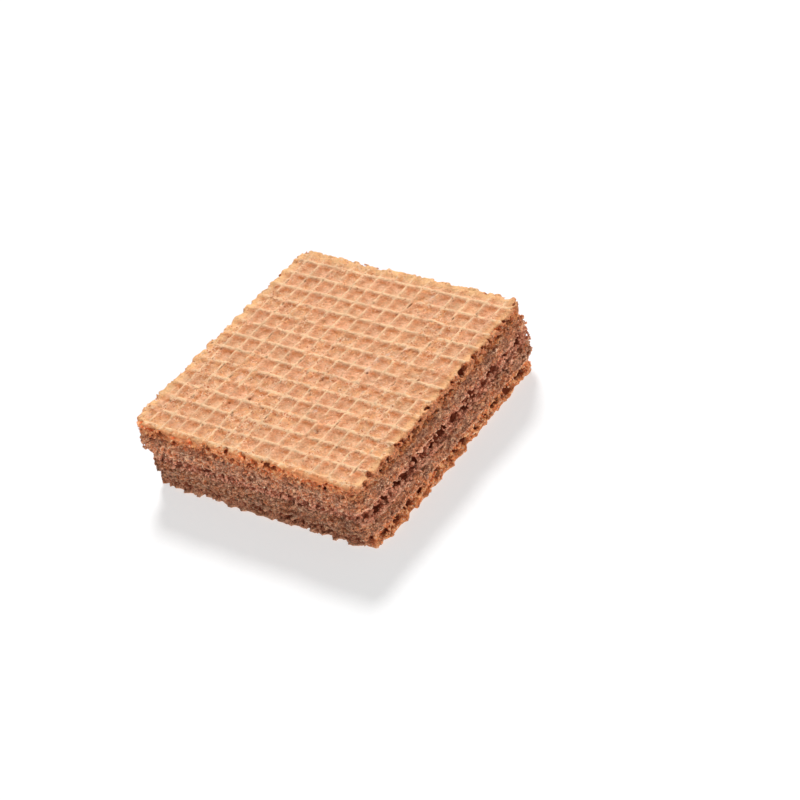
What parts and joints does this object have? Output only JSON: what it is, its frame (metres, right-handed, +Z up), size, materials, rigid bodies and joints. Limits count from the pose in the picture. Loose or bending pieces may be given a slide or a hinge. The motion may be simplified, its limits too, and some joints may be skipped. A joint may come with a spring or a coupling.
{
  "type": "cream-filled wafer biscuit",
  "caption": "Square layered wafer biscuit: waffle-embossed wafer sheets with cocoa cream between them, cut open along its sides.",
  "frame": {"origin": "middle of the base, on the plane of the lowest ridges, where the wafer lies", "axes": "+Z up through the layers; +X along the embossed rows, to the right seen from the front; -Y towards the front, where the top sheet has broken back to a ridge"},
  "size_m": [0.0464, 0.0445, 0.0125],
  "materials": {
    "wafer": "dry baked wafer, golden tan and slightly pitted, with thin paler embossed ridges",
    "cream": "dull set cocoa cream, smeared and crumbly where it is cut"
  },
  "bodies": {
    "root": {"wafer_bottom": "wafer", "cream_lower": "cream", "wafer_middle": "wafer", "cream_upper": "cream", "wafer_top": "wafer"}
  },
  "joints": []
}
